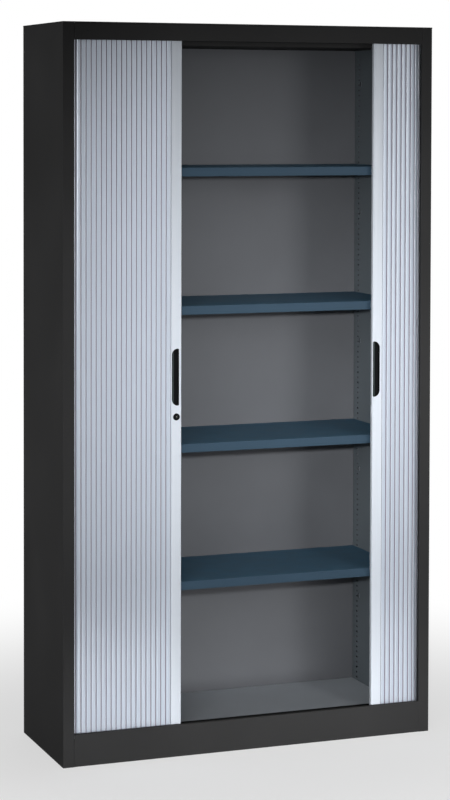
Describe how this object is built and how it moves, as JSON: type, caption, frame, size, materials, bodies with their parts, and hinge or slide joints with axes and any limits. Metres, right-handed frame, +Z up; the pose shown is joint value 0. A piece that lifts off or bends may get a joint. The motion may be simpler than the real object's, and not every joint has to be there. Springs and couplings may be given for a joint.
{
  "type": "tambour door cabinet",
  "caption": "Tall steel cabinet with hung shelves behind two slatted tambour doors, which slide sideways round its front corners on grooved tracks and meet at a hook lock.",
  "frame": {"origin": "on the floor, at the middle of the footprint", "axes": "+Z up, -Y towards the doors, +X to the right as seen from the front"},
  "size_m": [1.07, 0.39, 1.98],
  "materials": {
    "casing_paint": "satin charcoal powder coat",
    "inner_paint": "satin grey powder coat",
    "shelf_paint": "satin blue-grey powder coat",
    "curtain_plastic": "satin silver extruded slats",
    "bar_aluminium": "satin silver",
    "black_plastic": "moulded black",
    "track_plastic": "extruded black",
    "zinc_steel": "zinc plated",
    "lock_chrome": "bright lock face"
  },
  "bodies": {
    "casing": {"left_side_panel": "casing_paint", "right_side_panel": "casing_paint", "top_panel": "casing_paint", "top_rail": "casing_paint", "bottom_rail": "casing_paint", "head_tray": "casing_paint", "base_tray": "casing_paint", "back_panel": "inner_paint", "floor_panel": "inner_paint", "ceiling_panel": "casing_paint", "left_inner_wall": "inner_paint", "right_inner_wall": "inner_paint", "left_lower_track": "track_plastic", "left_upper_track": "track_plastic", "right_lower_track": "track_plastic", "right_upper_track": "track_plastic", "shelf_1": "shelf_paint", "shelf_2": "shelf_paint", "shelf_3": "shelf_paint", "shelf_4": "shelf_paint", "hook_1_left_front": "zinc_steel", "hook_1_left_rear": "zinc_steel", "hook_1_right_front": "zinc_steel", "hook_1_right_rear": "zinc_steel", "hook_2_left_front": "zinc_steel", "hook_2_left_rear": "zinc_steel", "hook_2_right_front": "zinc_steel", "hook_2_right_rear": "zinc_steel", "hook_3_left_front": "zinc_steel", "hook_3_left_rear": "zinc_steel", "hook_3_right_front": "zinc_steel", "hook_3_right_rear": "zinc_steel", "hook_4_left_front": "zinc_steel", "hook_4_left_rear": "zinc_steel", "hook_4_right_front": "zinc_steel", "hook_4_right_rear": "zinc_steel", "foot_bracket_front_left": "zinc_steel", "foot_bracket_front_right": "zinc_steel", "foot_bracket_rear_left": "zinc_steel", "foot_bracket_rear_right": "zinc_steel"},
    "left_door": {"left_leading_bar": "bar_aluminium", "left_curtain": "curtain_plastic", "left_lower_shoe": "black_plastic", "left_upper_shoe": "black_plastic", "left_grip_cup": "black_plastic", "lock_housing": "black_plastic"},
    "right_door": {"right_leading_bar": "bar_aluminium", "right_curtain": "curtain_plastic", "right_lower_shoe": "black_plastic", "right_upper_shoe": "black_plastic", "right_grip_cup": "black_plastic", "strike_plate": "zinc_steel"},
    "lock_cylinder": {"lock_plug": "lock_chrome", "hook_bolt": "zinc_steel"},
    "foot_front_left_body": {"foot_front_left": "black_plastic"},
    "foot_front_right_body": {"foot_front_right": "black_plastic"},
    "foot_rear_left_body": {"foot_rear_left": "black_plastic"},
    "foot_rear_right_body": {"foot_rear_right": "black_plastic"}
  },
  "joints": [
    {"name": "left_door_slide", "type": "slide", "parent": "casing", "child": "left_door", "axis": [1, 0, 0], "range_m": [-0.2445, 0.1985], "deforming": ["left_curtain"]},
    {"name": "right_door_slide", "type": "slide", "parent": "casing", "child": "right_door", "axis": [1, 0, 0], "range_m": [-0.363, 0.08], "deforming": ["right_curtain"]},
    {"name": "lock_turn", "type": "hinge", "parent": "left_door", "child": "lock_cylinder", "pos_m": [-0.2137, -0.1805, 0.921], "axis": [0, -1, 0], "range_deg": [0, 90]},
    {"name": "foot_front_left_slide", "type": "slide", "parent": "casing", "child": "foot_front_left_body", "axis": [0, 0, -1], "range_m": [0, 0.015]},
    {"name": "foot_front_right_slide", "type": "slide", "parent": "casing", "child": "foot_front_right_body", "axis": [0, 0, -1], "range_m": [0, 0.015]},
    {"name": "foot_rear_left_slide", "type": "slide", "parent": "casing", "child": "foot_rear_left_body", "axis": [0, 0, -1], "range_m": [0, 0.015]},
    {"name": "foot_rear_right_slide", "type": "slide", "parent": "casing", "child": "foot_rear_right_body", "axis": [0, 0, -1], "range_m": [0, 0.015]}
  ]
}
